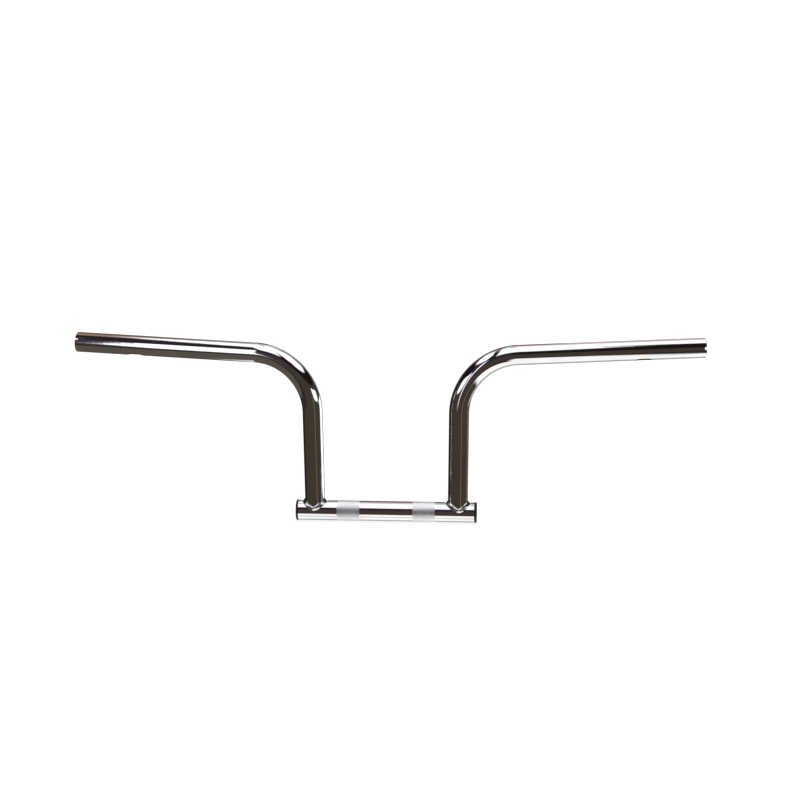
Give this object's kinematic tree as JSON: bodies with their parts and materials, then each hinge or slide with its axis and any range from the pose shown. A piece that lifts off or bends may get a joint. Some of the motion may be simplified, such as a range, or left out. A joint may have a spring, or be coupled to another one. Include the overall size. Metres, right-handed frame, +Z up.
{
  "type": "motorcycle handlebar",
  "caption": "Narrow upright handlebar: short straight base tube with knurled clamp bands, welded risers that bend into swept-back grip sections, chromed, with black end plugs.",
  "frame": {"origin": "on the base tube's axis, midway between the two knurled bands that the riser clamps hold", "axes": "+X along the base tube to the right as seen from the front, +Y to the back (towards the rider), +Z up along the risers"},
  "size_m": [0.7966, 0.0629, 0.2338],
  "materials": {
    "chrome": "polished chrome plate over welded steel tube",
    "black_plastic": "moulded black polyethylene, satin"
  },
  "bodies": {
    "root": {"base_tube": "chrome", "left_bar": "chrome", "right_bar": "chrome", "left_weld": "chrome", "right_weld": "chrome", "left_base_plug": "black_plastic", "right_base_plug": "black_plastic"}
  },
  "joints": []
}
